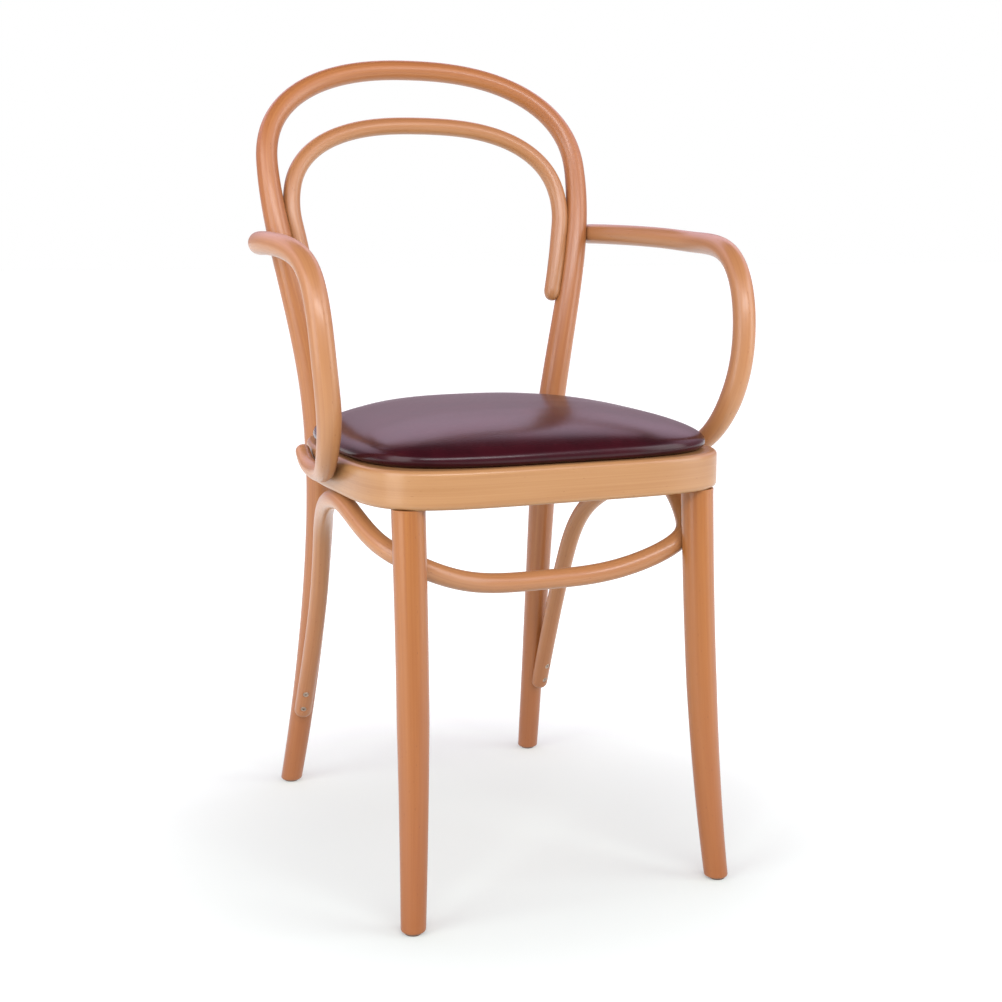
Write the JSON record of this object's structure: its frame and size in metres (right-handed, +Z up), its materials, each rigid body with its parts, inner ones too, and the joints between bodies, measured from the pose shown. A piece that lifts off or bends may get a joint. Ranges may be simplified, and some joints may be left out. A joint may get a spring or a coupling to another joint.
{
  "type": "bentwood armchair",
  "caption": "Bentwood armchair with nested back bows, looped arms, a bent seat ring on flared legs, a bent leg brace and a padded leather seat.",
  "frame": {"origin": "on the floor, under the middle of the chair's bounding box", "axes": "+Z up; -Y the way the chair faces; +X to the sitter's left, which is on the right seen from the front. Left and right in the names are as seen from the front"},
  "size_m": [0.5284, 0.5018, 0.8848],
  "materials": {
    "beech": "clear satin lacquer on steam-bent beech",
    "plywood": "raw plywood",
    "foam": "open-cell foam",
    "leather": "smooth burgundy leather, semi-gloss",
    "steel": "zinc-plated steel",
    "nylon": "brown nylon"
  },
  "bodies": {
    "root": {"arm_bow_screw_left": "steel", "arm_bow_screw_right": "steel", "arm_left": "beech", "arm_right": "beech", "arm_ring_screw_left_1": "steel", "arm_ring_screw_left_2": "steel", "arm_ring_screw_right_1": "steel", "arm_ring_screw_right_2": "steel", "back_frame": "beech", "brace_end_screw_left_1": "steel", "brace_end_screw_left_2": "steel", "brace_end_screw_right_1": "steel", "brace_end_screw_right_2": "steel", "brace_leg_screw_left": "steel", "brace_leg_screw_right": "steel", "brace_ring_screw_left": "steel", "brace_ring_screw_right": "steel", "foot_glide_front_left": "nylon", "foot_glide_front_right": "nylon", "foot_glide_rear_left": "nylon", "foot_glide_rear_right": "nylon", "front_leg_left": "beech", "front_leg_right": "beech", "inner_bow": "beech", "inner_bow_screw_left": "steel", "inner_bow_screw_right": "steel", "leg_brace": "beech", "seat_board": "plywood", "seat_bolt_left": "steel", "seat_bolt_right": "steel", "seat_cover": "leather", "seat_foam": "foam", "seat_ring": "beech", "seat_screw_left_1": "steel", "seat_screw_left_2": "steel", "seat_screw_right_1": "steel", "seat_screw_right_2": "steel", "seat_washer_left": "steel", "seat_washer_right": "steel"}
  },
  "joints": []
}
